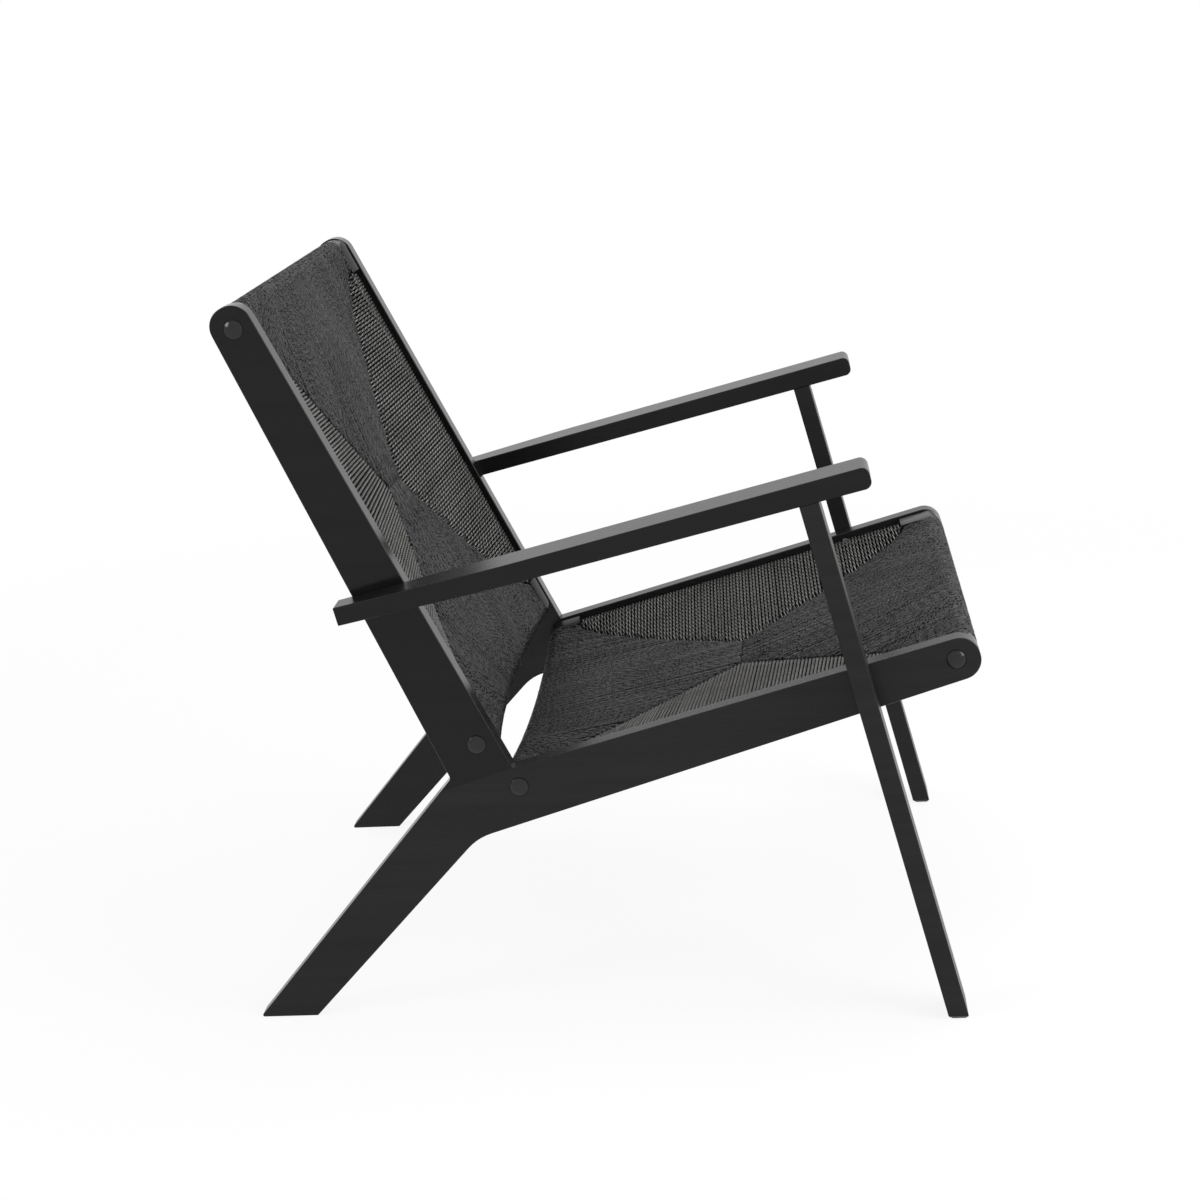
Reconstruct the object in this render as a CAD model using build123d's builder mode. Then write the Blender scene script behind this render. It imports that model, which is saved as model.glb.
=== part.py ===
from build123d import *
import math
import os

os.makedirs("parts", exist_ok=True)

# Low lounge armchair: two flush Y-shaped side frames, an arm and front leg outside each one,
# and a seat and a back wound with cord, bolted between the side frames. The chair faces -Y.
# Side views are drawn in millimetres as (forward, up), from the floor by the rear foot's tip.

# Overall sizes; the origin lies under the chair's middle
middle = 398.49
frame_width = 600.0
board = 22.0
arm_board = 52.0
edge_ease = 1.2

# Side frame outline, one limb after the other
vee = (299.5, 282.5)
rear_foot_back = (-4.0, 0.0)
rear_foot_front = (60.5, 0.0)
underside = (255.6, 203.7)
rail_tip_low = (803.3, 368.8)
rail_tip_top = (791.5, 412.5)
upright_tip_front = (56.4, 800.0)
upright_tip_back = (15.9, 781.2)
crotch = (231.5, 272.5)
tip_radius = 21.5
underside_radius = 60.0
crotch_radius = 5.0
foot_radius = 2.0
joint_angle = 16.8

# Seat and back frames, laid out between their bolts: the end rails lie a little beyond the bolts
seat_angle = 14.8
back_angle = -64.8
seat_rear_bolt = (305.3, 261.4)
seat_span = 483.5
seat_beyond = (5.5, 10.6)
back_top_bolt = (47.7, 768.3)
back_span = 505.7
back_beyond = (9.0, 12.0)
end_rail_radius = 11.0
cord = 4.0
stile_width = 18.0
stile_half_height = 14.5
stile_bare_end = 27.0
bow = 14.0
dip = 24.0
dip_power = 0.35
dip_stations = (0.004, 0.06, 0.2, 0.5, 0.96)
sag_below = 6.0
side_gap = 0.4
spigot_radius = 6.0
spigot_length = 8.0

# Front leg and arm
leg_foot_back = (752.7, 0.0)
leg_foot_front = (774.2, 0.0)
leg_top_back_forward = 616.3
leg_top_front_forward = 636.3
leg_foot_chamfer = 4.0
arm_rear_low = (132.8, 457.4)
arm_front_low = (691.0, 583.4)
arm_thickness = 23.0
arm_rear_thickness = 20.0
arm_tip_radius = 8.0
arm_taper_start = 310.0
arm_rear_width = 32.0
arm_taper_blend = 400.0
arm_shortest_eased_edge = 31.5
arm_plan_margin = 1.0

# Fixings
bolt_radius = 3.0
bolt_hole_radius = 3.3
bolt_head_radius = 5.0
bolt_head_height = 5.0
bolt_length = 20.0
counterbore_radius = 8.0
counterbore_depth = 9.0
cap_radius = 10.0
cap_rim = 0.8
cap_crown = 2.2
cap_recess_radius = 10.7
cap_recess_depth = 1.0
cap_plug = 2.0
insert_radius = 4.5
insert_length = 9.0
screw_radius = 2.5
screw_head_radius = 5.0
screw_head_height = 3.0
leg_screw_length = 50.0
leg_screw_heights = (347.0, 369.0)
arm_screw_length = 40.0
arm_screw_steps = (32.0, 56.0)
frame_dowel_radius = 5.0
frame_dowel_half = 22.0
frame_dowel_steps = (20.0, 40.0, 60.0)
arm_dowel_radius = 4.0
arm_dowel_in_arm = 11.0
arm_dowel_in_leg = 18.0
arm_dowel_places = (12.0, 36.0)

# Places worked out from the sizes above
outer = frame_width / 2
inner = outer - board
stile_inner = inner - stile_width
roll_radius = end_rail_radius + cord
arm_slope = (arm_front_low[1] - arm_rear_low[1]) / (arm_front_low[0] - arm_rear_low[0])
arm_angle = math.degrees(math.atan(arm_slope))


def arm_underside(forward):
    """The point of the arm's underside at a distance forward."""
    return (forward, arm_rear_low[1] + arm_slope * (forward - arm_rear_low[0]))


leg_top_back = arm_underside(leg_top_back_forward)
leg_top_front = arm_underside(leg_top_front_forward)
leg_top_middle = arm_underside((leg_top_back_forward + leg_top_front_forward) / 2)
leg_foot_middle = ((leg_foot_back[0] + leg_foot_front[0]) / 2, 0.0)
leg_lean = (leg_top_middle[0] - leg_foot_middle[0]) / leg_top_middle[1]
leg_angle = math.degrees(math.atan2(1, leg_lean))


def step(point, angle, along, across=0.0):
    """The point that lies along an angle in the side view, and across it to the left."""
    turn = math.radians(angle)
    return (
        point[0] + along * math.cos(turn) - across * math.sin(turn),
        point[1] + along * math.sin(turn) + across * math.cos(turn),
    )


def side_plane(x, point=(0.0, 0.0), angle=0.0):
    """A side-view plane at x: its x axis runs forward, turned up by an angle, and it faces -X."""
    turn = math.radians(angle)
    origin = (x, middle - point[0], point[1])
    return Plane(origin=origin, x_dir=(0, -math.cos(turn), math.sin(turn)), z_dir=(-1, 0, 0))


# The seat is laid out forward from its rear bolt, and the back down from its top bolt
seat_front_bolt = step(seat_rear_bolt, seat_angle, seat_span)
back_bottom_bolt = step(back_top_bolt, back_angle, back_span)
bolt_places = [back_top_bolt, back_bottom_bolt, seat_rear_bolt, seat_front_bolt]
seat_rear_place = step(seat_rear_bolt, seat_angle, -seat_beyond[0])
seat_front_place = step(seat_front_bolt, seat_angle, seat_beyond[1])
back_top_place = step(back_top_bolt, back_angle, -back_beyond[0])
back_bottom_place = step(back_bottom_bolt, back_angle, back_beyond[1])
leg_screw_places = [(leg_foot_middle[0] + leg_lean * height, height) for height in leg_screw_heights]
arm_screw_height = arm_rear_thickness / 2
arm_screw_places = [step(arm_rear_low, arm_angle, along, arm_screw_height) for along in arm_screw_steps]


def cross_pin(x_start, x_end, places, radius):
    """Round pins that run across the chair from one x to another."""
    with BuildPart() as pins:
        for place in places:
            with BuildSketch(side_plane(max(x_start, x_end), place)):
                Circle(radius)
            extrude(amount=abs(x_end - x_start))
    return pins.part


def frame_dowel_pins():
    """Dowels that stand square to the joint between the upright and the seat rail."""
    turn = math.radians(joint_angle)
    square_to_joint = (0, math.sin(turn), math.cos(turn))
    with BuildPart() as pins:
        for along in frame_dowel_steps:
            foot = step(vee, joint_angle, -along, -frame_dowel_half)
            origin = (-outer + board / 2, middle - foot[0], foot[1])
            with BuildSketch(Plane(origin=origin, x_dir=(1, 0, 0), z_dir=square_to_joint)):
                Circle(frame_dowel_radius)
            extrude(amount=2 * frame_dowel_half)
    return pins.part


def arm_dowel_pins():
    """Dowels along the front leg that enter the underside of the arm."""
    turn = math.radians(leg_angle)
    along_leg = (0, -math.cos(turn), math.sin(turn))
    foot = step(leg_top_middle, leg_angle, -arm_dowel_in_leg)
    with BuildPart() as pins:
        for offset in arm_dowel_places:
            origin = (-outer - offset, middle - foot[0], foot[1])
            with BuildSketch(Plane(origin=origin, x_dir=(1, 0, 0), z_dir=along_leg)):
                Circle(arm_dowel_radius)
            extrude(amount=arm_dowel_in_leg + arm_dowel_in_arm)
    return pins.part


def countersunk_screws(places, length):
    """Countersunk screws driven outwards from the inner face of a side frame."""
    with BuildPart() as screws:
        for place in places:
            start = side_plane(-inner, place)
            with BuildSketch(Plane(origin=start.origin, x_dir=(-1, 0, 0), z_dir=start.x_dir)):
                with BuildLine():
                    Polyline(
                        (0, 0), (0, screw_head_radius), (screw_head_height, screw_radius),
                        (length - screw_radius, screw_radius), (length, 0), close=True,
                    )
                make_face()
            revolve(axis=Axis(start.origin, (-1, 0, 0)))
    return screws.part


def both_sides(part):
    """A part and its mirror image on the other side of the chair."""
    with BuildPart() as pair:
        add(part)
        mirror(about=Plane.YZ)
    return pair.part


def save(part, name):
    part.label = name
    export_step(part, f"parts/{name}.step")


def save_pair(part, name):
    """The right-hand piece as drawn, on the -X side, and the left-hand one as its mirror image."""
    save(part, f"{name}_right")
    with BuildPart() as left:
        mirror(part, about=Plane.YZ)
    save(left.part, f"{name}_left")


frame_dowels = frame_dowel_pins()
arm_dowels = arm_dowel_pins()
leg_screws = countersunk_screws(leg_screw_places, leg_screw_length)
arm_screws = countersunk_screws(arm_screw_places, arm_screw_length)

# Side frame: the whole Y outline, cut at the vee into upright and seat rail with its rear leg
with BuildPart() as side_frame:
    with BuildSketch(side_plane(-inner)) as outline:
        with BuildLine():
            Polyline(
                rear_foot_back, rear_foot_front, underside, rail_tip_low, rail_tip_top,
                vee, upright_tip_front, upright_tip_back, crotch, close=True,
            )
        make_face()
        for point, radius in (
            (rear_foot_back, foot_radius), (rear_foot_front, foot_radius), (underside, underside_radius),
            (rail_tip_low, tip_radius), (rail_tip_top, tip_radius), (crotch, crotch_radius),
            (upright_tip_front, tip_radius), (upright_tip_back, tip_radius),
        ):
            fillet(outline.vertices().sort_by_distance((point[0], point[1], 0))[0], radius)
    extrude(amount=board)
    board_faces = side_frame.faces().sort_by(Axis.X)
    fillet(board_faces[0].edges() + board_faces[-1].edges(), edge_ease)
    add(cross_pin(-outer, -inner, bolt_places, bolt_hole_radius), mode=Mode.SUBTRACT)
    add(cross_pin(-outer, -outer + counterbore_depth, bolt_places, counterbore_radius), mode=Mode.SUBTRACT)
    add(cross_pin(-outer, -outer + cap_recess_depth, bolt_places, cap_recess_radius), mode=Mode.SUBTRACT)
    add(frame_dowels, mode=Mode.SUBTRACT)
    add(leg_screws, mode=Mode.SUBTRACT)
    add(arm_screws, mode=Mode.SUBTRACT)

joint_turn = math.radians(joint_angle)
joint_plane = Plane(
    origin=(0, middle - vee[0], vee[1]),
    x_dir=(1, 0, 0),
    z_dir=(0, math.sin(joint_turn), math.cos(joint_turn)),
)
with BuildPart() as back_upright:
    add(side_frame.part)
    split(bisect_by=joint_plane, keep=Keep.TOP)
save_pair(back_upright.part, "back_upright")

with BuildPart() as seat_rail_leg:
    add(side_frame.part)
    split(bisect_by=joint_plane, keep=Keep.BOTTOM)
save_pair(seat_rail_leg.part, "seat_rail_leg")

# Front leg: a flat board that leans back from its foot to the arm, outside the seat rail
with BuildPart() as front_leg:
    with BuildSketch(side_plane(-outer)):
        with BuildLine():
            Polyline(leg_foot_back, leg_foot_front, leg_top_front, leg_top_back, close=True)
        make_face()
    extrude(amount=arm_board)
    chamfer(front_leg.faces().sort_by(Axis.Z)[0].edges(), leg_foot_chamfer)
    long_edges = front_leg.edges().filter_by(lambda edge: edge.length > leg_top_back[1] / 2)
    fillet(long_edges, edge_ease)
    add(leg_screws, mode=Mode.SUBTRACT)
    add(arm_dowels, mode=Mode.SUBTRACT)
save_pair(front_leg.part, "front_leg")

# Arm: a flat board on the front leg, narrowed behind towards the upright that it passes
arm_rear_top = step(arm_rear_low, arm_angle, 0, arm_rear_thickness)
arm_front_top = step(arm_front_low, arm_angle, 0, arm_thickness)
plan_rear = arm_rear_top[0] - arm_plan_margin
plan_front = arm_front_low[0] + arm_plan_margin
with BuildPart() as armrest:
    with BuildSketch(side_plane(-outer)) as arm_side:
        with BuildLine():
            Polyline(arm_rear_low, arm_front_low, arm_front_top, arm_rear_top, close=True)
        make_face()
        fillet(arm_side.vertices().sort_by(Axis.X)[-2:], arm_tip_radius)
    extrude(amount=arm_board)
    with BuildSketch(Plane(origin=(-outer, middle, 0), x_dir=(0, -1, 0), z_dir=(0, 0, 1))) as arm_plan:
        with BuildLine():
            Polyline(
                (plan_rear, 0), (plan_front, 0), (plan_front, -arm_board),
                (arm_taper_start, -arm_board), (plan_rear, -arm_rear_width), close=True,
            )
        make_face()
        fillet(arm_plan.vertices().sort_by_distance((arm_taper_start, -arm_board, 0))[0], arm_taper_blend)
    extrude(amount=arm_front_top[1] + arm_plan_margin, mode=Mode.INTERSECT)
    fillet(armrest.edges().filter_by(lambda edge: edge.length > arm_shortest_eased_edge), edge_ease)
    add(arm_screws, mode=Mode.SUBTRACT)
    add(arm_dowels, mode=Mode.SUBTRACT)
save_pair(armrest.part, "armrest")


def across_plane(place, angle):
    """A plane square to a panel at a rail: its x axis is the chair's, its y axis faces the sitter."""
    turn = math.radians(angle)
    origin = (0, middle - place[0], place[1])
    return Plane(origin=origin, x_dir=(1, 0, 0), z_dir=(0, -math.cos(turn), math.sin(turn)))


bow_radius = (stile_inner**2 + bow**2) / (2 * bow)


def bowed_away(x):
    """How far the bowed rail's centre lies behind a straight line between its ends."""
    return math.sqrt(bow_radius**2 - x**2) - bow_radius + bow


def rail_body(place, angle, bowed):
    """A round rail between the stiles, straight or bowed away from the sitter."""
    reach = stile_inner + bow
    with BuildPart() as rail:
        if bowed:
            with BuildLine(across_plane(place, angle)) as path:
                ThreePointArc((-reach, -bowed_away(reach)), (0, -bow), (reach, -bowed_away(reach)))
            with BuildSketch(Plane(origin=path.line @ 0, z_dir=path.line % 0)):
                Circle(end_rail_radius)
            sweep()
            with BuildSketch(side_plane(stile_inner, place)):
                Circle(2 * (bow + end_rail_radius))
            extrude(amount=2 * stile_inner, mode=Mode.INTERSECT)
        else:
            with BuildSketch(side_plane(stile_inner, place)):
                Circle(end_rail_radius)
            extrude(amount=2 * stile_inner)
    return rail.part


def spigot_rail(body, place):
    """A rail with a spigot at each end that enters the stile."""
    spigot_end = stile_inner + spigot_length
    with BuildPart() as rail:
        add(body)
        for start, end in ((spigot_end, stile_inner), (-stile_inner, -spigot_end)):
            add(cross_pin(start, end, [place], spigot_radius))
    return rail.part


def stile(bolt, angle, span, beyond):
    """A panel's side rail: bare round ends as thick as the winding, and a thinner middle under the cord."""
    wound_length = span - 2 * stile_bare_end
    start = -beyond[0]
    end = span + beyond[1]
    with BuildPart() as bar:
        with BuildSketch(side_plane(-stile_inner, bolt, angle)):
            with Locations(((start + end) / 2, 0)):
                SlotCenterToCenter(end - start, 2 * stile_half_height)
        extrude(amount=stile_width)
        with BuildSketch(side_plane(-stile_inner, bolt, angle)):
            with Locations((span / 2, 0)):
                Rectangle(wound_length, 2 * stile_half_height)
        extrude(amount=stile_width, mode=Mode.SUBTRACT)
        with BuildSketch(side_plane(-stile_inner, bolt, angle)):
            with Locations((span / 2, 0)):
                Rectangle(wound_length, 2 * (stile_half_height - cord))
        extrude(amount=stile_width - cord)
        rails = [step(bolt, angle, start), step(bolt, angle, end)]
        bolts = [bolt, step(bolt, angle, span)]
        add(cross_pin(-stile_inner, -stile_inner - spigot_length, rails, spigot_radius), mode=Mode.SUBTRACT)
        add(cross_pin(-inner, -inner + insert_length, bolts, insert_radius), mode=Mode.SUBTRACT)
    return bar.part


def winding(bolt, angle, span, beyond, bowed_first, rails):
    """The cord of a panel: four fields of taut strands that fall from the rails to a short bridge."""
    bridge = stile_inner - (span / 2 - stile_bare_end)
    seam_run = span / 2 - stile_bare_end - cord
    start = -beyond[0]
    end = span + beyond[1]
    nearest = dip_stations[0]
    stations = [(stile_inner - (share - nearest) * (stile_inner - bridge), share) for share in dip_stations]
    with BuildPart() as cords:
        for x, share in stations + [(-x, share) for x, share in reversed(stations)]:
            seam = stile_bare_end + share * seam_run
            quarter = (seam + span / 2) / 2
            quarter_share = min(1.0, (quarter - stile_bare_end) / seam_run)
            upper = stile_half_height - dip * share**dip_power
            rising = stile_half_height - dip * share * quarter_share**(dip_power - 1)
            highest = stile_half_height - dip * share
            lower = -stile_half_height - sag_below * share
            first = -bowed_away(x) if bowed_first else 0.0
            last = 0.0 if bowed_first else -bowed_away(x)
            with BuildSketch(side_plane(x, bolt, angle)):
                with BuildLine():
                    Polyline(
                        (start, first + roll_radius), (seam, upper), (quarter, rising), (span / 2, highest),
                        (span - quarter, rising), (span - seam, upper), (end, last + roll_radius),
                    )
                    RadiusArc((end, last + roll_radius), (end + roll_radius, last), roll_radius)
                    RadiusArc((end + roll_radius, last), (end, last - roll_radius), roll_radius)
                    Polyline(
                        (end, last - roll_radius), (span - seam, lower),
                        (seam, lower), (start, first - roll_radius),
                    )
                    RadiusArc((start, first - roll_radius), (start - roll_radius, first), roll_radius)
                    RadiusArc((start - roll_radius, first), (start, first + roll_radius), roll_radius)
                make_face()
        loft(ruled=True)
        for x in (inner - side_gap, -stile_inner):
            with BuildSketch(side_plane(x, bolt, angle)):
                with Locations((span / 2, 0)):
                    Rectangle(span - 2 * stile_bare_end, 2 * stile_half_height)
            extrude(amount=stile_width - side_gap)
        for x in (stile_inner + stile_width - cord, -stile_inner):
            with BuildSketch(side_plane(x, bolt, angle)):
                with Locations((span / 2, 0)):
                    Rectangle(span - 2 * stile_bare_end, 2 * (stile_half_height - cord))
            extrude(amount=stile_width - cord, mode=Mode.SUBTRACT)
        for rail in rails:
            add(rail, mode=Mode.SUBTRACT)
    return cords.part


# Seat: the rear rail is bowed down, and the front rail is straight
seat_rear = rail_body(seat_rear_place, seat_angle, bowed=True)
seat_front = rail_body(seat_front_place, seat_angle, bowed=False)
seat_cord = winding(seat_rear_bolt, seat_angle, seat_span, seat_beyond, True, [seat_rear, seat_front])
save(spigot_rail(seat_rear, seat_rear_place), "seat_rear_rail")
save(spigot_rail(seat_front, seat_front_place), "seat_front_rail")
save_pair(stile(seat_rear_bolt, seat_angle, seat_span, seat_beyond), "seat_side_rail")
save(seat_cord, "seat_cord")

# Back: the top rail is straight, and the bottom rail is bowed to the rear
back_top = rail_body(back_top_place, back_angle, bowed=False)
back_bottom = rail_body(back_bottom_place, back_angle, bowed=True)
back_cord = winding(back_top_bolt, back_angle, back_span, back_beyond, False, [back_top, back_bottom])
save(spigot_rail(back_top, back_top_place), "back_top_rail")
save(spigot_rail(back_bottom, back_bottom_place), "back_bottom_rail")
save_pair(stile(back_top_bolt, back_angle, back_span, back_beyond), "back_side_rail")
save(back_cord, "back_cord")

# Bolts from the counterbored side frames into inserts in the stiles, under domed caps in shallow recesses
bolt_seat = -outer + counterbore_depth
with BuildPart() as bolts:
    add(cross_pin(bolt_seat, bolt_seat - bolt_head_height, bolt_places, bolt_head_radius))
    add(cross_pin(bolt_seat + bolt_length, bolt_seat, bolt_places, bolt_radius))
save(both_sides(bolts.part), "frame_bolts")

with BuildPart() as inserts:
    add(cross_pin(-inner, -inner + insert_length, bolt_places, insert_radius))
    add(cross_pin(-inner, -inner + insert_length, bolt_places, bolt_radius), mode=Mode.SUBTRACT)
save(both_sides(inserts.part), "threaded_inserts")

cap_rim_height = cap_recess_depth + cap_rim
cap_top_height = cap_recess_depth + cap_crown
with BuildPart() as caps:
    for place in bolt_places:
        across = side_plane(-outer + cap_recess_depth, place)
        with BuildSketch(Plane(origin=across.origin, x_dir=(-1, 0, 0), z_dir=across.x_dir)):
            with BuildLine():
                Polyline(
                    (cap_top_height, 0), (-cap_plug, 0), (-cap_plug, counterbore_radius),
                    (0, counterbore_radius), (0, cap_radius), (cap_rim_height, cap_radius),
                )
                TangentArc((cap_top_height, 0), (cap_rim_height, cap_radius), tangent=(0, 1))
            make_face()
        revolve(axis=Axis(across.origin, (-1, 0, 0)))
save(both_sides(caps.part), "bolt_caps")

save(both_sides(frame_dowels), "upright_dowels")
save(both_sides(arm_dowels), "arm_dowels")
save(both_sides(leg_screws), "leg_screws")
save(both_sides(arm_screws), "arm_screws")
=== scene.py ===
import math
import random

import bpy
import numpy as np
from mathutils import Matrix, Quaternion, Vector


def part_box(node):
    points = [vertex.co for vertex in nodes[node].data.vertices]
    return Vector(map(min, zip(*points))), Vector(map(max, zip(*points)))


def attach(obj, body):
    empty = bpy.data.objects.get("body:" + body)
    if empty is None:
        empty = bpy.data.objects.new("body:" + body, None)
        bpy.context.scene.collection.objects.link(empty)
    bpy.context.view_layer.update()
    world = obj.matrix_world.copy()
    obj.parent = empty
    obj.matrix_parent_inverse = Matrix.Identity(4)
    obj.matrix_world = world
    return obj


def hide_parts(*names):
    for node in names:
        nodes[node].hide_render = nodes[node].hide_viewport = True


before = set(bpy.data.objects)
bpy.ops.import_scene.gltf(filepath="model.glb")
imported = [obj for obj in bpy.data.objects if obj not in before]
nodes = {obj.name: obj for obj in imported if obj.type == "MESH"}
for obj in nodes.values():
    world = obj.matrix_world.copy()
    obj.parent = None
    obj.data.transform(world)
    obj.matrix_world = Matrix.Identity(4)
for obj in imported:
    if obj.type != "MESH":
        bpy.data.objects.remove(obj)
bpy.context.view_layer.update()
print("frame loaded:", len(nodes), "pieces")


# Node helpers
def newMaterial(name):
    material = bpy.data.materials.new(name)
    material.use_nodes = True
    tree = material.node_tree
    return material, tree, tree.nodes["Principled BSDF"]


def addNode(tree, kind, **sockets):
    node = tree.nodes.new(kind)
    for socket, value in sockets.items():
        node.inputs[socket].default_value = value
    return node


def mathNode(tree, operation, *values):
    node = tree.nodes.new("ShaderNodeMath")
    node.operation = operation
    for socket, value in zip(node.inputs, values):
        if isinstance(value, (int, float)):
            socket.default_value = value
        else:
            tree.links.new(value, socket)
    return node.outputs[0]


def combineNode(tree, x, y):
    node = tree.nodes.new("ShaderNodeCombineXYZ")
    tree.links.new(x, node.inputs["X"])
    tree.links.new(y, node.inputs["Y"])
    return node.outputs["Vector"]


def objectPlace(tree):
    return tree.nodes.new("ShaderNodeTexCoord").outputs["Object"]


def stretchNode(tree, place, scale):
    node = addNode(tree, "ShaderNodeMapping", Scale=scale)
    tree.links.new(place, node.inputs["Vector"])
    return node.outputs["Vector"]


def noiseNode(tree, place, **sockets):
    node = addNode(tree, "ShaderNodeTexNoise", **sockets)
    tree.links.new(place, node.inputs["Vector"])
    return node.outputs["Fac"]


def rangeNode(tree, value, limits):
    node = tree.nodes.new("ShaderNodeMapRange")
    for socket, limit in zip(("To Min", "To Max"), limits):
        node.inputs[socket].default_value = limit
    tree.links.new(value, node.inputs["Value"])
    return node.outputs["Result"]


def colourRamp(tree, factor, places, colours):
    node = tree.nodes.new("ShaderNodeValToRGB")
    for element, place, colour in zip(node.color_ramp.elements, places, colours):
        element.position = place
        element.color = (*colour, 1)
    tree.links.new(factor, node.inputs["Fac"])
    return node.outputs["Color"]


def bumpNode(tree, height, strength, distance):
    node = addNode(tree, "ShaderNodeBump", Strength=strength, Distance=distance)
    tree.links.new(height, node.inputs["Height"])
    return node.outputs["Normal"]


def dress(name, material):
    materials = nodes[name].data.materials
    materials.clear()
    materials.append(material)


# Mesh helpers
smoothAngle = math.radians(40)  # edges sharper than this stay crisp


def addPiece(name, verts, faces, material):
    mesh = bpy.data.meshes.new(name)
    mesh.from_pydata(verts, [], faces)
    mesh.materials.append(material)
    piece = bpy.data.objects.new(name, mesh)
    bpy.context.scene.collection.objects.link(piece)
    return piece


def faceOutwards(piece):
    bpy.ops.object.select_all(action="DESELECT")
    piece.select_set(True)
    bpy.context.view_layer.objects.active = piece
    bpy.ops.object.mode_set(mode="EDIT")
    bpy.ops.mesh.select_all(action="SELECT")
    bpy.ops.mesh.normals_make_consistent(inside=False)
    bpy.ops.object.mode_set(mode="OBJECT")


def tubeFaces(base, rings, count):
    faces = []
    for i in range(rings - 1):
        a, b = base + count * i, base + count * (i + 1)
        for j in range(count):
            k = (j + 1) % count
            faces.append((a + j, a + k, b + k, b + j))
    final = base + count * (rings - 1)
    faces.append(tuple(base + j for j in reversed(range(count))))
    faces.append(tuple(final + j for j in range(count)))
    return faces


# Black-stained wood: pores and figure run along each board
woodFinish = {
    "deep": (0.0074, 0.0074, 0.0082),
    "pale": (0.0130, 0.0130, 0.0142),
    "blend": (0.3, 0.72),
    "ior": 1.305,
    "figure": {"stretch": (3.0, 70.0, 70.0), "detail": 4.0},
    "pores": {"stretch": (30.0, 900.0, 900.0), "detail": 2.0},
    "grainRoughness": 0.6,
    "poreDepth": 0.00012,
    "poreBump": 0.18,
}


# Grain colour, scaled by a tone that is painted shade on each copy of the stain
def woodColour(tree, grain, shadeTone):
    colours = [[channel * shadeTone for channel in woodFinish[shade]] for shade in ("deep", "pale")]
    return colourRamp(tree, grain, woodFinish["blend"], colours)


def stainedWood(name, look):
    material, tree, shader = newMaterial(name)
    turned = addNode(tree, "ShaderNodeMapping", Rotation=(math.radians(look["lean"]), 0, math.radians(90)))
    turned.vector_type = "TEXTURE"
    tree.links.new(objectPlace(tree), turned.inputs["Vector"])

    def grain(kind):
        place = stretchNode(tree, turned.outputs["Vector"], woodFinish[kind]["stretch"])
        detail, roughness = woodFinish[kind]["detail"], woodFinish["grainRoughness"]
        return noiseNode(tree, place, Scale=1.0, Detail=detail, Roughness=roughness)

    figure, pores = grain("figure"), grain("pores")
    bump = bumpNode(tree, pores, woodFinish["poreBump"], woodFinish["poreDepth"])
    tree.links.new(woodColour(tree, figure, look["shadeTone"]), shader.inputs["Base Color"])
    tree.links.new(rangeNode(tree, pores, look["roughness"]), shader.inputs["Roughness"])
    tree.links.new(bump, shader.inputs["Normal"])
    shader.inputs["IOR"].default_value = woodFinish["ior"]
    return material


# Each board's lean in the side view, in degrees up from the front-to-back line, its tone and its roughness;
# the tone is painted shade, darkening or lightening each board's copy of the one black stain to match how
# light falls on it
boards = {
    "back_upright": {"lean": 64.8, "shadeTone": 0.35, "roughness": (0.1, 0.2)},
    "seat_rail_leg": {"lean": -14.8, "shadeTone": 0.8, "roughness": (0.2, 0.34)},
    "front_leg": {"lean": 75.0, "shadeTone": 0.8, "roughness": (0.3, 0.45)},
    "armrest": {"lean": -12.7, "shadeTone": 0.35, "roughness": (0.2, 0.34)},
}
panelRails = {"lean": -14.8, "shadeTone": 1.0, "roughness": (0.2, 0.34)}
for board, look in boards.items():
    wood = stainedWood(board + "Wood", look)
    for side in ("left", "right"):
        dress(board + "_" + side, wood)
panelWood = stainedWood("panelWood", panelRails)
for name in nodes:
    if name.endswith("_rail") or "side_rail" in name:
        dress(name, panelWood)

# Polished black wood of the caps and of the side rails' bare ends; the caps' tone is lower than the stiles'
# as painted shade
polish = {
    "cap": {"shadeTone": 0.7, "roughness": (0.13, 0.2), "ior": 1.41},
    "stile": {"shadeTone": 1.0, "roughness": (0.14, 0.2), "ior": 1.45},
    "stretch": (60.0, 60.0, 600.0),
    "detail": 3.0,
}


def polishedFinish(name):
    look = polish[name]
    material, tree, shader = newMaterial(name + "Polish")
    place = stretchNode(tree, objectPlace(tree), polish["stretch"])
    grain = noiseNode(tree, place, Scale=1.0, Detail=polish["detail"])
    tree.links.new(woodColour(tree, grain, look["shadeTone"]), shader.inputs["Base Color"])
    tree.links.new(rangeNode(tree, grain, look["roughness"]), shader.inputs["Roughness"])
    shader.inputs["IOR"].default_value = look["ior"]
    return material


capPolish = polishedFinish("cap")
stilePolish = polishedFinish("stile")
print("wood finished")

# Speckled materials: steel and beech of the hidden fixings, and the packing inside the panels, made near
# black as painted shade so the gaps between the cords read as shadow
speckles = {
    "blend": (0.3, 0.7),
    "steel": {"dark": (0.52, 0.52, 0.54), "light": (0.64, 0.64, 0.66), "scale": 400.0, "detail": 3.0,
              "sockets": {"Metallic": 1.0, "Roughness": 0.35}},
    "beech": {"dark": (0.5, 0.34, 0.19), "light": (0.66, 0.48, 0.3), "scale": 400.0, "detail": 3.0,
              "sockets": {"Metallic": 0.0, "Roughness": 0.6}},
    "packingShadeCard": {"dark": (0.0016, 0.0016, 0.0017), "light": (0.004, 0.004, 0.0042), "scale": 300.0,
                    "detail": 2.0, "sockets": {"Roughness": 0.95, "IOR": 1.2}},
}
fixings = {"steel": ("frame_bolts", "threaded_inserts", "leg_screws", "arm_screws"),
           "beech": ("upright_dowels", "arm_dowels")}


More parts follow.
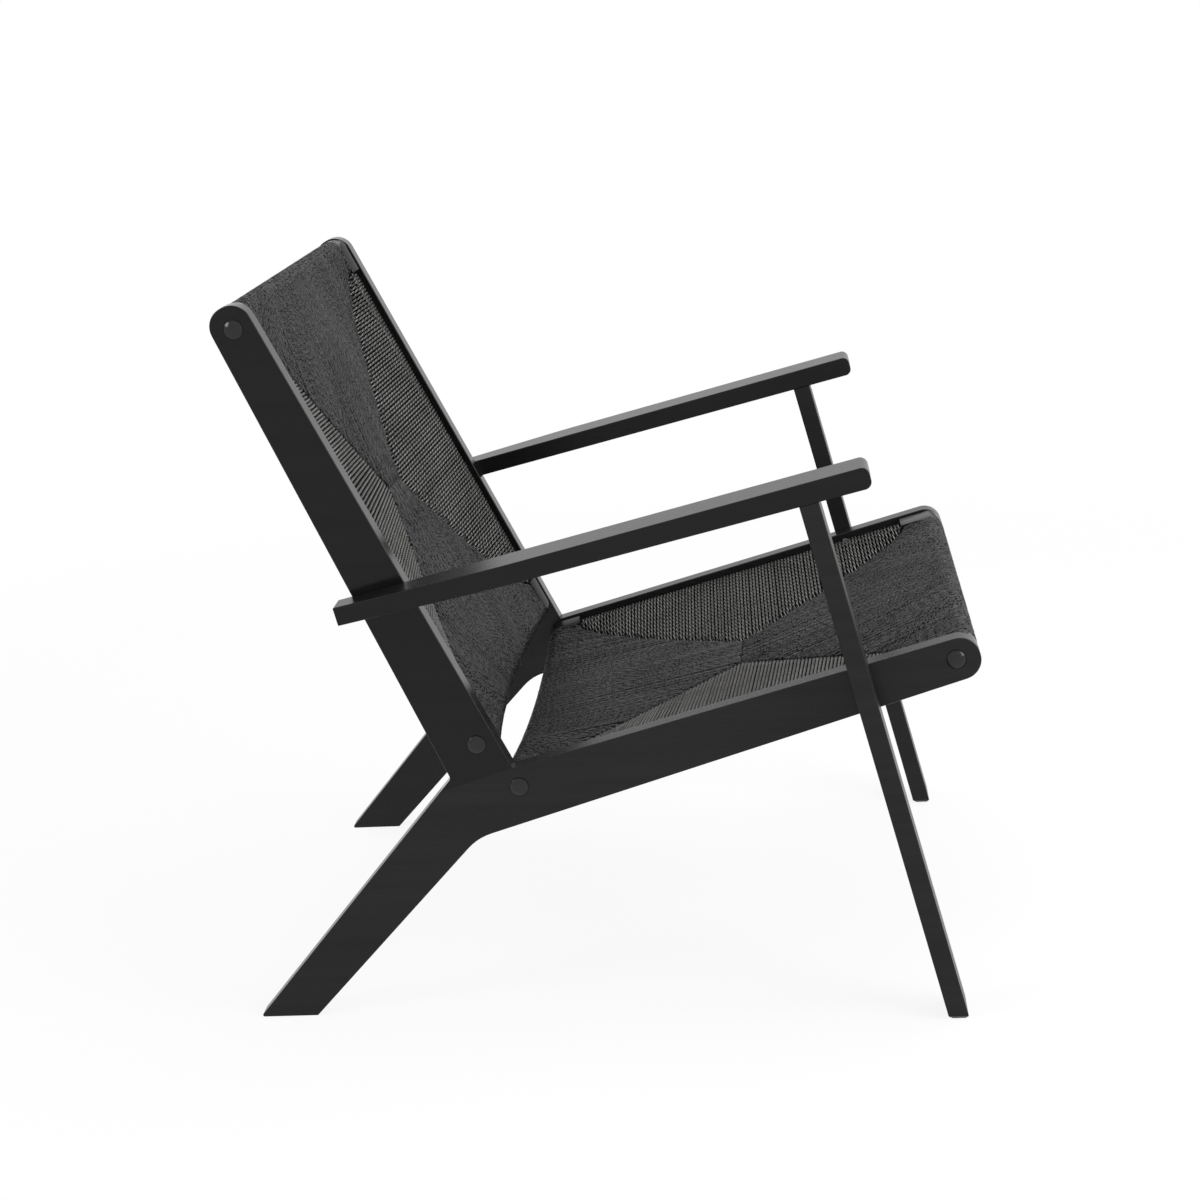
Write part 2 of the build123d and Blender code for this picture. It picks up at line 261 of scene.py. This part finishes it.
def speckled(name):
    look = speckles[name]
    material, tree, shader = newMaterial(name)
    noise = noiseNode(tree, objectPlace(tree), Scale=look["scale"], Detail=look["detail"])
    colour = colourRamp(tree, noise, speckles["blend"], (look["dark"], look["light"]))
    tree.links.new(colour, shader.inputs["Base Color"])
    for socket, value in look["sockets"].items():
        shader.inputs[socket].default_value = value
    return material


for kind, names in fixings.items():
    fixing = speckled(kind)
    for name in names:
        dress(name, fixing)
packingShade = speckled("packingShadeCard")


# Twisted cord: colour and grooves follow the two plies by the strand's own UV map, with painted shade in the
# ply grooves and a painted sheen on the crests
# The side cords' crests are painted far lighter and the end cords' darker than the one charcoal cord, as
# painted light and shade for how each field catches the light; the side cords also get a stronger sheen
cordFinish = {
    "end": {"shadedGroove": (0.002, 0.002, 0.0022), "litCrest": (0.027, 0.027, 0.0292), "roughness": 0.45, "ior": 1.31,
            "plyShade": 0.2},
    "side": {"shadedGroove": (0.0015, 0.0015, 0.0015), "litCrest": (0.19, 0.189, 0.174), "roughness": 0.3, "ior": 1.65,
             "plyShade": 0.5},
    "plies": 2,
    "fibreScale": 5.0,
    "fibreLength": 2.0,
    "fibreTurns": 8.0,
    "fibreDetail": 3.0,
    "fibreRoughness": 0.7,
    "fibreLift": 0.2,
    "fleckLength": 2.0,
    "fleckDetail": 1.0,
    "fleckMiddle": 0.5,
    "fleckContrast": 6.5,
    "bump": 0.6,
    "bumpDepth": 0.0006,
    "uvName": "cordLay",
    "tintName": "tint",
}


def twistedCord(name, finish):
    material, tree, shader = newMaterial(name)
    uv = tree.nodes.new("ShaderNodeUVMap")
    uv.uv_map = cordFinish["uvName"]
    split = tree.nodes.new("ShaderNodeSeparateXYZ")
    tree.links.new(uv.outputs["UV"], split.inputs[0])
    along, around = split.outputs["X"], split.outputs["Y"]
    turn = mathNode(tree, "SUBTRACT", around, along)
    # Painted shade: the colour darkens in the grooves between the plies, and the same wave lifts the bump
    plyShade = mathNode(tree, "COSINE", mathNode(tree, "MULTIPLY", turn, 2 * math.pi * cordFinish["plies"]))
    plyReliefShade = mathNode(tree, "MULTIPLY_ADD", plyShade, finish["plyShade"], 1 - finish["plyShade"])

    fibreAlong = mathNode(tree, "MULTIPLY", along, cordFinish["fibreLength"])
    fibreAround = mathNode(tree, "MULTIPLY", turn, cordFinish["fibreTurns"])
    fibre = noiseNode(tree, combineNode(tree, fibreAlong, fibreAround), Scale=cordFinish["fibreScale"],
                      Detail=cordFinish["fibreDetail"], Roughness=cordFinish["fibreRoughness"])
    fleckAlong = mathNode(tree, "MULTIPLY", along, cordFinish["fleckLength"])
    fleck = noiseNode(tree, combineNode(tree, fleckAlong, turn), Scale=cordFinish["fibreScale"],
                      Detail=cordFinish["fleckDetail"])
    contrast = cordFinish["fleckContrast"]
    flecked = mathNode(tree, "MULTIPLY_ADD", fleck, contrast, 1 - cordFinish["fleckMiddle"] * contrast)
    patchy = mathNode(tree, "MULTIPLY", mathNode(tree, "ADD", fibre, cordFinish["fibreLift"]), flecked)
    shade = mathNode(tree, "MULTIPLY", plyReliefShade, patchy)
    tint = tree.nodes.new("ShaderNodeAttribute")
    tint.attribute_name = cordFinish["tintName"]
    toned = mathNode(tree, "MULTIPLY", shade, tint.outputs["Fac"])

    # Colour runs from the painted groove shade to the crest's painted light, with fibre, fleck and per-strand
    # tint on top
    colour = colourRamp(tree, toned, (0.0, 1.0), (finish["shadedGroove"], finish["litCrest"]))
    # Painted sheen: reflection strength follows the same pattern as the colour, strongest on the ply crests
    # and dull in the grooves
    sheen = mathNode(tree, "MINIMUM", toned, 1.0)
    height = mathNode(tree, "ADD", plyReliefShade, fibre)
    bump = bumpNode(tree, height, cordFinish["bump"], cordFinish["bumpDepth"])
    tree.links.new(colour, shader.inputs["Base Color"])
    tree.links.new(sheen, shader.inputs["Specular IOR Level"])
    tree.links.new(bump, shader.inputs["Normal"])
    shader.inputs["Roughness"].default_value = finish["roughness"]
    shader.inputs["IOR"].default_value = finish["ior"]
    return material


cordMaterials = {kind: twistedCord(kind + "Cord", cordFinish[kind]) for kind in ("end", "side")}


# Wound panels: strands run taut from the rails to seams that drop into a shallow dish
winding = {
    "railRadius": 0.011,
    "endCord": 0.00205,
    "sideCord": 0.00135,
    "stileHalf": 0.0145,
    "bareEnd": 0.027,
    "woundHalf": 0.0119,
    "wrapCorner": 0.0035,
    "wrapBevel": 0.3,
    "wrapDegrees": 15,
    "bow": 0.014,
    "sagBelow": 0.006,
    "dropPower": 0.3,
    "dropEase": 0.004,
    "dive": 0.006,
    "diveShare": 0.8,
    "bridgeDive": 0.0025,
    "endLay": 0.024,
    "sideLay": 0.023,
    "endLobe": 0.14,
    "sideLobe": 0.2,
    "seamCurve": 0.88,
    "seamGap": 0.0018,
    "slantFade": 0.05,
    "sides": 6,
    "step": 0.0027,
    "fewestRings": 4,
    "endPitch": 0.0043,
    "endJitter": 0.28,
    "endUneven": 0.0006,
    "sideLift": 0.0008,
    "sideJitter": 0.05,
    "thinnest": 0.96,
    "thickSpread": 0.08,
    "darkest": 0.82,
    "tintSpread": 0.36,
    "packInset": 0.0031,
    "packEdge": 0.0004,
    "packLap": 0.002,
    "packSpan": 0.995,
    "packSteps": 96,
    "seed": 7,
}
seatPanel = {
    "name": "seat",
    "sideRail": "seat_side_rail_left",
    "firstIsHigh": False,
    "bowedFirst": True,
    "beyond": (0.0055, 0.0106),
    "sidePitch": 0.00427,
    "dip": 0.025,
    "ends": ("Rear", "Front"),
    "rightSlant": 0.0,
}
backPanel = {
    "name": "back",
    "sideRail": "back_side_rail_left",
    "firstIsHigh": True,
    "bowedFirst": False,
    "beyond": (0.009, 0.012),
    "sidePitch": 0.00438,
    "dip": 0.024,
    "ends": ("Top", "Bottom"),
    "rightSlant": 0.058,
}


def layOut(panel):
    low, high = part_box(panel["sideRail"])
    half = winding["stileHalf"]
    rear, front = high.y - half, low.y + half
    bottom, top = low.z + half, high.z - half
    first = Vector((0, rear, top if panel["firstIsHigh"] else bottom))
    last = Vector((0, front, bottom if panel["firstIsHigh"] else top))
    panel["along"] = (last - first).normalized()
    facing = panel["along"].cross(Vector((1, 0, 0)))
    panel["basis"] = np.array([(1, 0, 0), panel["along"], facing])
    panel["origin"] = first + panel["along"] * panel["beyond"][0]
    panel["length"] = (last - first).length - sum(panel["beyond"])
    panel["inner"], panel["outer"] = low.x, high.x
    panel["run"] = panel["length"] / 2 - winding["bareEnd"]


def toWorld(panel, points):
    return [tuple(point) for point in np.array(panel["origin"]) + np.array(points) @ panel["basis"]]


def seamAt(panel, x):
    share = min(1.0, (panel["inner"] - abs(x)) / panel["run"]) ** (1 / winding["seamCurve"])
    return share, winding["bareEnd"] + share * panel["run"]


def dropAt(panel, share):
    power, ease = winding["dropPower"], winding["dropEase"]
    start = ease ** power
    return panel["dip"] * ((max(share, 0.0) + ease) ** power - start) / ((1 + ease) ** power - start)


def bowAt(panel, x):
    bow, half = winding["bow"], panel["inner"]
    radius = (half * half + bow * bow) / (2 * bow)
    return math.sqrt(radius * radius - x * x) - radius + bow


def endStrand(panel, x, atFirst, uneven=0.0):
    share, seam = seamAt(panel, x)
    r = winding["endCord"]
    dive = winding["dive"] if share < 1 else winding["bridgeDive"]
    turn = winding["railRadius"] + r
    rail = -panel["beyond"][0 if atFirst else 1]
    bowed = bowAt(panel, x) if atFirst == panel["bowedFirst"] else 0.0
    top = winding["stileHalf"] - r - dropAt(panel, share) + uneven
    under = -winding["stileHalf"] + r - winding["sagBelow"] * share
    stop = seam - (winding["seamGap"] if share < 1 else 0.0)
    points = [(stop, under + dive), (stop - dive, under)]
    for degrees in range(-90, 91, winding["wrapDegrees"]):
        a = math.radians(degrees)
        points.append((rail - turn * math.cos(a), -bowed + turn * math.sin(a)))
    points += [(stop - dive, top), (stop, top - dive)]
    length = panel["length"]
    return [(x, u if atFirst else length - u, v) for u, v in points]


def sideStrand(panel, u, side):
    fromEnd = min(u, panel["length"] - u)
    share = min(1.0, (fromEnd - winding["bareEnd"]) / panel["run"])
    r = winding["sideCord"]
    seamX = panel["inner"] - share ** winding["seamCurve"] * panel["run"]
    top = winding["stileHalf"] - r - dropAt(panel, share) + winding["sideLift"]
    under = -winding["stileHalf"] + r - winding["sagBelow"] * share
    wrap = winding["woundHalf"] + r
    corner = winding["wrapCorner"]
    bevel = winding["wrapBevel"] * corner
    outer = panel["outer"] - r
    inner = panel["inner"] + r
    dive = min(winding["dive"], (panel["inner"] - seamX) * winding["diveShare"])
    points = [(seamX, under + winding["dive"]), (seamX + dive, under), (inner, -wrap)]
    points += [(outer - corner, -wrap), (outer - bevel, -wrap + bevel), (outer, -wrap + corner)]
    points += [(outer, wrap - corner), (outer - bevel, wrap - bevel), (outer - corner, wrap), (inner, wrap)]
    points += [(seamX + dive, top), (seamX, top - winding["dive"])]
    slant = panel["rightSlant"] * min(1.0, max(0.0, (panel["length"] / 2 - u) / winding["slantFade"]))
    drift = slant if side < 0 else 0.0
    return [(side * x, u - drift * (min(x, inner) - seamX), v) for x, v in points]


def resample(points):
    points = np.array(points)
    gaps = np.linalg.norm(np.diff(points, axis=0), axis=1)
    reach = np.concatenate([[0], np.cumsum(gaps)])
    places = np.linspace(0, reach[-1], max(winding["fewestRings"], int(reach[-1] / winding["step"])))
    return np.stack([np.interp(places, reach, points[:, i]) for i in range(3)], 1), places


def strandAxes(path, kind):
    tangent = np.gradient(path, axis=0)
    tangent /= np.linalg.norm(tangent, axis=1)[:, None]
    across = np.array((1.0, 0.0, 0.0) if kind == "end" else (0.0, 1.0, 0.0))
    out = np.cross(tangent, across)
    return across, out / np.linalg.norm(out, axis=1)[:, None]


def strandMesh(name, panel, strands, kind, dice):
    cordRadius, lobe = winding[kind + "Cord"], winding[kind + "Lobe"]
    sides, plies = winding["sides"], cordFinish["plies"]
    angles = np.arange(sides) * 2 * math.pi / sides
    verts, faces, uvs, tints = [], [], [], []
    for points in strands:
        path, places = resample(points)
        across, out = strandAxes(path, kind)
        lay = places / winding[kind + "Lay"] + dice.random()
        radius = cordRadius * (winding["thinnest"] + winding["thickSpread"] * dice.random())
        tint = winding["darkest"] + winding["tintSpread"] * dice.random()
        first = len(verts)
        for i in range(len(path)):
            lobes = radius * (1 + lobe * np.cos(plies * (angles - 2 * math.pi * lay[i])))
            ways = np.cos(angles)[:, None] * across + np.sin(angles)[:, None] * out[i]
            verts += toWorld(panel, path[i] + lobes[:, None] * ways)
        tints += [tint] * (len(path) * sides)
        for i in range(len(path) - 1):
            a = first + i * sides
            b = a + sides
            for j in range(sides):
                k = (j + 1) % sides
                faces.append((a + j, b + j, b + k, a + k))
                near, far = j / sides, (j + 1) / sides
                uvs += [(lay[i], near), (lay[i + 1], near), (lay[i + 1], far), (lay[i], far)]
        final = first + (len(path) - 1) * sides
        faces.append(tuple(first + j for j in range(sides)))
        faces.append(tuple(final + j for j in reversed(range(sides))))
        uvs += [(lay[0], j / sides) for j in range(sides)]
        uvs += [(lay[-1], j / sides) for j in reversed(range(sides))]
    piece = addPiece(name, verts, faces, cordMaterials[kind])
    layer = piece.data.uv_layers.new(name=cordFinish["uvName"])
    layer.data.foreach_set("uv", np.array(uvs, np.float32).ravel())
    tintLayer = piece.data.attributes.new(cordFinish["tintName"], "FLOAT", "POINT")
    tintLayer.data.foreach_set("value", np.array(tints, np.float32))
    piece.data.shade_smooth()
    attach(piece, "root")
    print(name, len(strands), "strands", sum(len(face) - 2 for face in faces), "triangles")
    return piece


def spacing(start, span, pitch, jitter, dice):
    count = int(span / pitch)
    return [start + span * (i + 0.5 + jitter * (2 * dice.random() - 1)) / count for i in range(count)]


# Packing that fills each field between its upper and lower cords, like a real seat's stuffing, a near-black
# sheet as painted shade behind the gaps
def packRing(strand):
    tip, below, belowRail, aboveRail, above = (np.array(strand[i]) for i in (0, 1, 2, -3, -2))
    lead = tip - below
    lead[2] = 0
    tip += lead * winding["packLap"] / np.linalg.norm(lead)
    tip[2] = (strand[0][2] + strand[-1][2]) / 2
    inset = np.array((0, 0, winding["packInset"]))
    edge = np.array((0, 0, winding["packEdge"]))
    return [tip - edge, below + inset, belowRail + inset, aboveRail - inset, above - inset, tip + edge]


def packPanel(panel):
    steps = winding["packSteps"]
    shares = [i / steps for i in range(steps + 1)]
    span = winding["packSpan"] * panel["inner"]
    first = winding["bareEnd"] + (1 - winding["packSpan"]) * panel["run"]
    wound = panel["length"] - 2 * first
    fields = [[packRing(endStrand(panel, span * (2 * share - 1), atFirst)) for share in shares]
              for atFirst in (True, False)]
    fields += [[packRing(sideStrand(panel, first + wound * share, side)) for share in shares]
               for side in (1, -1)]
    verts, faces = [], []
    for rings in fields:
        faces += tubeFaces(len(verts), len(rings), len(rings[0]))
        for ring in rings:
            verts += toWorld(panel, ring)
    piece = addPiece(panel["name"] + "PackingShade", verts, faces, packingShade)
    faceOutwards(piece)
    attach(piece, "root")
    return piece


def windPanel(panel):
    layOut(panel)
    dice = random.Random(winding["seed"])
    pieces = []
    for end, atFirst in zip(panel["ends"], (True, False)):
        places = spacing(-panel["inner"], 2 * panel["inner"], winding["endPitch"], winding["endJitter"], dice)
        strands = []
        for x in places:
            uneven = winding["endUneven"] * (2 * dice.random() - 1)
            strands.append(endStrand(panel, x, atFirst, uneven))
        name = panel["name"] + end + "Cords"
        pieces.append(strandMesh(name, panel, strands, "end", dice))
    wound = panel["length"] - 2 * winding["bareEnd"]
    for label, side in (("Left", 1), ("Right", -1)):
        places = spacing(winding["bareEnd"], wound, panel["sidePitch"], winding["sideJitter"], dice)
        strands = [sideStrand(panel, u, side) for u in places]
        name = panel["name"] + label + "Cords"
        pieces.append(strandMesh(name, panel, strands, "side", dice))
    pieces.append(packPanel(panel))
    for piece in pieces:
        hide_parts(panel["name"] + "_cord")


windPanel(seatPanel)
windPanel(backPanel)
print("panels wound")


# Side rails of the panels: their bare round ends slope down from the boards to the cords
stileShape = {"proud": 0.0008, "rise": 0.0036, "edge": 0.0014, "shoulder": 0.001, "turnSteps": 8,
              "firstTurn": 0.25}


def stileSections(panel):
    half, wound = winding["stileHalf"], winding["woundHalf"]
    steps, firstTurn = stileShape["turnSteps"], stileShape["firstTurn"]
    first, last = -panel["beyond"][0], panel["length"] + panel["beyond"][1]
    bare, shoulder = winding["bareEnd"], stileShape["shoulder"]
    turns = [math.radians(90 * (i + firstTurn) / (steps + firstTurn)) for i in range(steps + 1)]
    sections = [(first - half * math.cos(a), half * math.sin(a)) for a in turns]
    sections += [(bare - 2 * shoulder, half), (bare - shoulder, wound)]
    sections += [(panel["length"] - bare + shoulder, wound), (panel["length"] - bare + 2 * shoulder, half)]
    sections += [(last + half * math.cos(a), half * math.sin(a)) for a in reversed(turns)]
    return sections


def makeStile(panel, label, side):
    half, inner, outer = winding["stileHalf"], panel["inner"], panel["outer"]
    rings = []
    for u, h in stileSections(panel):
        bare = h / half if h != winding["woundHalf"] else 0.0
        low = h + stileShape["proud"] * bare
        high = low + stileShape["rise"] * bare
        ease = stileShape["edge"] * h / half
        upper = [(outer, high - ease), (outer - ease, high), (inner + ease, low), (inner, low - ease)]
        lower = [(x, -v) for x, v in reversed(upper)]
        rings.append([(side * x, u, v) for x, v in upper + lower])
    verts = [vert for ring in rings for vert in toWorld(panel, ring)]
    faces = tubeFaces(0, len(rings), len(rings[0]))
    stile = addPiece(panel["name"] + label + "Stile", verts, faces, stilePolish)
    faceOutwards(stile)
    bpy.ops.object.shade_smooth_by_angle(angle=smoothAngle)
    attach(stile, "root")
    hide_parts(panel["name"] + "_side_rail_" + label.lower())


for panel in (seatPanel, backPanel):
    makeStile(panel, "Left", 1)
    makeStile(panel, "Right", -1)
print("side rails placed")


# Domed caps in the boards' recesses, one over each bolt
capShape = {"radius": 0.0098, "sag": 0.0030, "rim": 0.0004, "plug": 0.0008, "segments": 48, "rings": 64,
            "seat": (0.0004, -0.0003)}


def domedCap(name, place, side):
    radius, sag = capShape["radius"], capShape["sag"]
    ball = (radius ** 2 + sag ** 2) / (2 * sag)
    bpy.ops.object.select_all(action="DESELECT")
    bpy.ops.mesh.primitive_uv_sphere_add(segments=capShape["segments"], ring_count=capShape["rings"],
                                         radius=ball, location=(0, 0, 0))
    cap = bpy.context.object
    cap.name = cap.data.name = name
    bpy.ops.object.mode_set(mode="EDIT")
    bpy.ops.mesh.select_all(action="SELECT")
    bpy.ops.mesh.bisect(plane_co=(0, 0, ball - sag), plane_no=(0, 0, 1), clear_inner=True)
    down = {"value": (0, 0, -capShape["rim"] - capShape["plug"])}
    bpy.ops.mesh.extrude_region_move(TRANSFORM_OT_translate=down)
    bpy.ops.mesh.edge_face_add()
    bpy.ops.object.mode_set(mode="OBJECT")
    faceOutwards(cap)
    cap.location = Vector(place) + Vector((side * (capShape["rim"] - ball + sag), *capShape["seat"]))
    cap.rotation_euler = (0, math.radians(90 * side), 0)
    bpy.ops.object.transform_apply(location=True, rotation=True, scale=True)
    bpy.ops.object.shade_smooth_by_angle(angle=smoothAngle)
    cap.data.materials.append(capPolish)
    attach(cap, "root")
    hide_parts("bolt_caps")


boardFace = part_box("back_upright_left")[1].x
for panel in (seatPanel, backPanel):
    for end, along in zip(panel["ends"], (0.0, panel["length"])):
        for label, side in (("Left", 1), ("Right", -1)):
            bolt = panel["origin"] + panel["along"] * along + Vector((side * boardFace, 0, 0))
            domedCap(panel["name"] + end + label + "Cap", bolt, side)
print("bolts capped")


# Stage helpers
def seenDirectly(tree):
    path = tree.nodes.new("ShaderNodeLightPath")
    shown = mathNode(tree, "MAXIMUM", path.outputs["Is Camera Ray"], path.outputs["Is Glossy Ray"])
    return mathNode(tree, "MAXIMUM", shown, path.outputs["Is Transmission Ray"])


def mixSurfaces(tree, share, first, second, output):
    mix = tree.nodes.new("ShaderNodeMixShader")
    for value, socket in zip((share, first, second), mix.inputs):
        tree.links.new(value, socket)
    tree.links.new(mix.outputs["Shader"], tree.nodes[output].inputs["Surface"])


# Pale floor: white to the camera far off, and with the chair's soft shadow nearby
floorLook = {"size": 40.0, "colour": (0.9, 0.9, 0.9, 1), "roughness": 0.9, "nearGlow": 0.88, "fadeFrom": 1.0,
             "fadeTo": 2.6}
bpy.ops.object.select_all(action="DESELECT")
bpy.ops.mesh.primitive_plane_add(size=floorLook["size"], location=(0, 0, 0))
floor = bpy.context.object
floor.name = "floor"
floorMaterial, tree, shader = newMaterial("paleFloor")
shader.inputs["Base Color"].default_value = floorLook["colour"]
shader.inputs["Roughness"].default_value = floorLook["roughness"]
reach = tree.nodes.new("ShaderNodeVectorMath")
reach.operation = "LENGTH"
tree.links.new(objectPlace(tree), reach.inputs[0])
fade = tree.nodes.new("ShaderNodeMapRange")
fade.interpolation_type = "SMOOTHSTEP"
for socket, value in (("From Min", "fadeFrom"), ("From Max", "fadeTo"), ("To Min", "nearGlow")):
    fade.inputs[socket].default_value = floorLook[value]
tree.links.new(reach.outputs["Value"], fade.inputs["Value"])
glow = addNode(tree, "ShaderNodeEmission", Strength=1.0)
shown = mathNode(tree, "MULTIPLY", seenDirectly(tree), fade.outputs["Result"])
mixSurfaces(tree, shown, shader.outputs["BSDF"], glow.outputs["Emission"], "Material Output")
floor.data.materials.append(floorMaterial)

# World: white to the camera and in reflections, softer as light
worldLook = {"colour": (1, 1, 1, 1), "seen": 1.0, "light": 0.5}
world = bpy.data.worlds.new("studio")
bpy.context.scene.world = world
world.use_nodes = True
tree = world.node_tree
soft = tree.nodes["Background"]
white = tree.nodes.new("ShaderNodeBackground")
for background, strength in ((soft, "light"), (white, "seen")):
    background.inputs["Color"].default_value = worldLook["colour"]
    background.inputs["Strength"].default_value = worldLook[strength]
mixSurfaces(tree, seenDirectly(tree), soft.outputs["Background"], white.outputs["Background"], "World Output")

# Soft studio lamps
lamps = {
    "overhead": {"place": (0.6, -0.4, 2.6), "aim": (0, 0, 0.4), "size": 2.2, "power": 32},
    "front": {"place": (-1.2, -2.4, 1.6), "aim": (0, 0, 0.4), "size": 1.8, "power": 62},
    "side": {"place": (-1.6, 2.6, 2.0), "aim": (0, 0, 0.5), "size": 1.1, "power": 30},
}
for name, lamp in lamps.items():
    bpy.ops.object.light_add(type="AREA", location=lamp["place"])
    light = bpy.context.object
    light.name = name
    light.data.size = lamp["size"]
    light.data.energy = lamp["power"]
    light.rotation_euler = (Vector(lamp["aim"]) - Vector(lamp["place"])).to_track_quat("-Z", "Y").to_euler()
print("floor and lamps placed")

# Camera at the photograph's viewing angle
photoCamera = {"place": (-2.60947, -0.21582, 1.10147), "aim": (-0.11240, 0.01033, 0.41322), "roll": -3.794,
               "lens": 69.03, "sensor": 36.0}
bpy.ops.object.camera_add(location=photoCamera["place"])
camera = bpy.context.object
sight = Vector(photoCamera["aim"]) - Vector(photoCamera["place"])
turned = sight.to_track_quat("-Z", "Y") @ Quaternion((0, 0, 1), math.radians(photoCamera["roll"]))
camera.rotation_euler = turned.to_euler()
camera.data.lens = photoCamera["lens"]
camera.data.sensor_width = photoCamera["sensor"]
bpy.context.scene.camera = camera
bpy.context.scene.view_settings.view_transform = "Standard"

print("scene ready")
